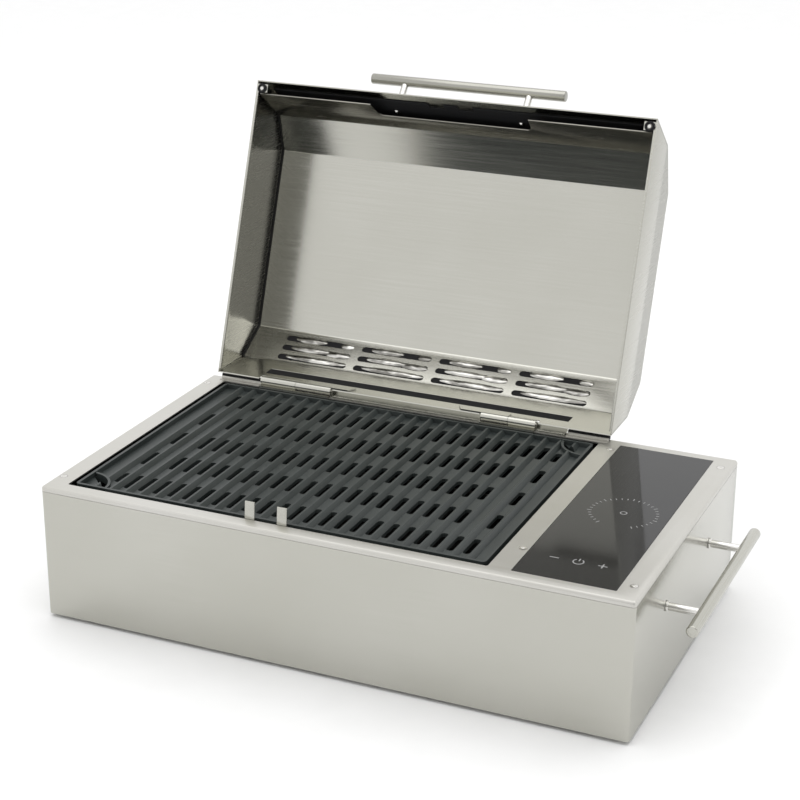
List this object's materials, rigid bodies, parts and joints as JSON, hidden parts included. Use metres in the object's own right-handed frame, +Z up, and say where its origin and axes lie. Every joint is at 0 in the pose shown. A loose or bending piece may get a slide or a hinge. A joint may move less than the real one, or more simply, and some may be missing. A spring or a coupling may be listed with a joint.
{
  "type": "table-top electric grill with hinged hood",
  "caption": "Table-top electric grill in stainless sheet: box body with a slotted cast grate, black glass touch panel, side handle and a faceted hinged hood standing open.",
  "frame": {"origin": "middle of the footprint of the whole object, hood open, on the surface that the feet stand on", "axes": "+X to the right as the user stands at the front, along the hinge; +Y to the rear; +Z up"},
  "size_m": [0.6644, 0.5196, 0.4801],
  "materials": {
    "brushed_stainless": "long-grain brushed stainless sheet",
    "liner_steel": "plain mill-finish stainless sheet",
    "element_sheath": "heat-tinted tube sheath",
    "dark_cast_grate": "dark grey-green matt enamel on a casting",
    "black_glass": "opaque black back-printed flat glass",
    "black_rubber": "matt black rubber",
    "dark_sealant": "dark high-temperature sealant",
    "circuit_board": "green solder mask",
    "black_pad": "matt black heat-resistant foam pad",
    "black_plastic": "moulded black plastic",
    "brass": "bright contact brass",
    "polished_stainless": "bright turned and polished stainless"
  },
  "bodies": {
    "base": {"body_shell": "brushed_stainless", "bottom_plate": "brushed_stainless", "bulkhead": "liner_steel", "catch_tab_left": "polished_stainless", "catch_tab_right": "polished_stainless", "cook_well": "liner_steel", "deck": "brushed_stainless", "deck_screw_1": "polished_stainless", "deck_screw_2": "polished_stainless", "deck_screw_3": "polished_stainless", "deck_screw_4": "polished_stainless", "deck_screw_5": "polished_stainless", "deck_screw_6": "polished_stainless", "deck_seal_left": "black_rubber", "deck_seal_right": "black_rubber", "drip_tray": "liner_steel", "element_support_left": "liner_steel", "element_support_right": "liner_steel", "foot_1": "black_rubber", "foot_2": "black_rubber", "foot_3": "black_rubber", "foot_4": "black_rubber", "glass_panel": "black_glass", "grate": "dark_cast_grate", "heating_element": "element_sheath", "hinge_base_left": "brushed_stainless", "hinge_base_right": "brushed_stainless", "hinge_pin_left": "polished_stainless", "hinge_pin_right": "polished_stainless", "inlet_pin_1": "brass", "inlet_pin_2": "brass", "inlet_pin_3": "brass", "panel_frame": "liner_steel", "panel_gasket": "black_rubber", "power_board": "circuit_board", "power_inlet": "black_plastic", "side_handle_bar": "brushed_stainless", "side_handle_post_a": "polished_stainless", "side_handle_post_b": "polished_stainless", "side_handle_screw_a": "polished_stainless", "side_handle_screw_b": "polished_stainless"},
    "hood": {"bumper_screw_1": "polished_stainless", "bumper_screw_2": "polished_stainless", "hinge_strap_left": "brushed_stainless", "hinge_strap_right": "brushed_stainless", "hood_bumper_1": "black_rubber", "hood_bumper_2": "black_rubber", "hood_end_left": "brushed_stainless", "hood_end_right": "brushed_stainless", "hood_front_pad": "black_pad", "hood_handle_bar": "brushed_stainless", "hood_handle_post_a": "polished_stainless", "hood_handle_post_b": "polished_stainless", "hood_handle_screw_a": "polished_stainless", "hood_handle_screw_b": "polished_stainless", "hood_rear_seal": "black_rubber", "hood_seal_left": "dark_sealant", "hood_seal_right": "dark_sealant", "hood_shell": "brushed_stainless", "lip_channel": "brushed_stainless"}
  },
  "joints": [
    {"name": "hood_hinge", "type": "hinge", "parent": "base", "child": "hood", "pos_m": [-0.0212, 0.08894, 0.1515], "axis": [1, 0, 0], "range_deg": [0, 109.7]}
  ]
}
